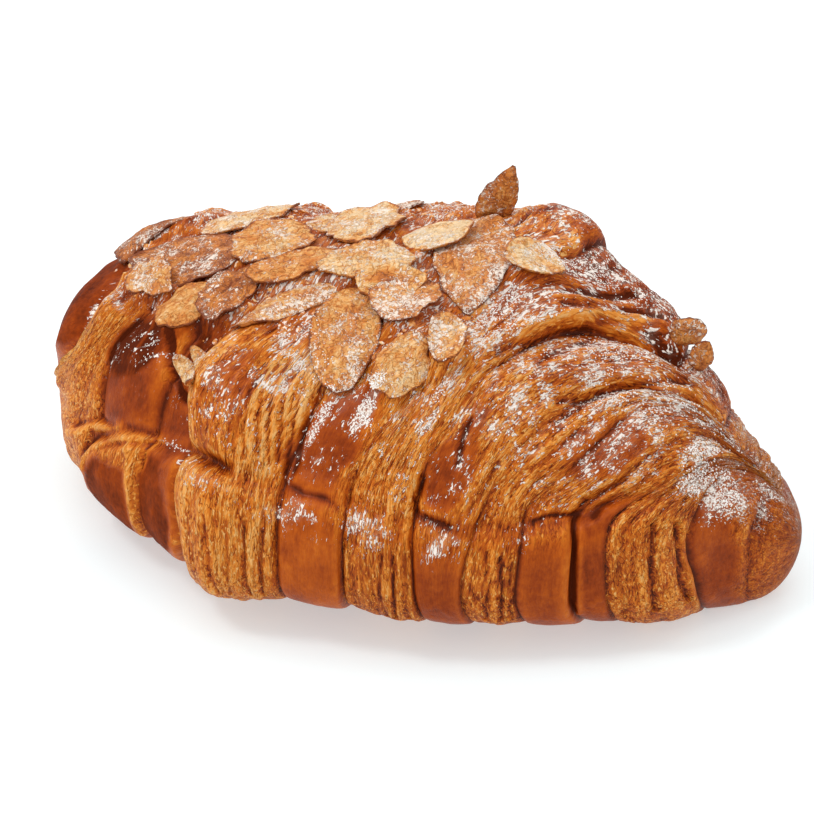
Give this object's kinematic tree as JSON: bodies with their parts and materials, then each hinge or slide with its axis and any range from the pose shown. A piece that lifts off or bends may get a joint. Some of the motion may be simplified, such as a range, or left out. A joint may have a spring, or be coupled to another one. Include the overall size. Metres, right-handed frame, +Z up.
{
  "type": "almond croissant",
  "caption": "Baked almond croissant with rolled wraps, a fold along the front and toasted almond slices on top, dusted with sugar.",
  "frame": {"origin": "middle of the footprint of the whole, on the surface that it rests on", "axes": "+X along the loaf from the round horn to the blunt nose, +Y to the back, +Z up"},
  "size_m": [0.1526, 0.0976, 0.0701],
  "materials": {
    "crust": "baked egg-washed crust, satin",
    "almond_pale": "matt",
    "almond_golden": "matt",
    "almond_dark": "matt"
  },
  "bodies": {
    "root": {"almond_back_flake": "almond_golden", "almond_back_lobe": "almond_golden", "almond_brown": "almond_dark", "almond_corner": "almond_pale", "almond_curl": "almond_golden", "almond_dusted_oval": "almond_dark", "almond_flat": "almond_golden", "almond_golden": "almond_golden", "almond_grey_top": "almond_dark", "almond_left_tip": "almond_dark", "almond_long_front": "almond_golden", "almond_mid": "almond_golden", "almond_pale_down": "almond_pale", "almond_pale_low": "almond_pale", "almond_pale_oval": "almond_pale", "almond_pale_ridge": "almond_pale", "almond_pale_up": "almond_pale", "almond_right_small": "almond_pale", "almond_round_low": "almond_pale", "almond_sliver_left": "almond_golden", "almond_sliver_right": "almond_golden", "almond_standing": "almond_golden", "almond_strip": "almond_golden", "almond_tan": "almond_golden", "almond_tip_top": "almond_golden", "almond_triangle": "almond_golden", "croissant": "crust"}
  },
  "joints": []
}
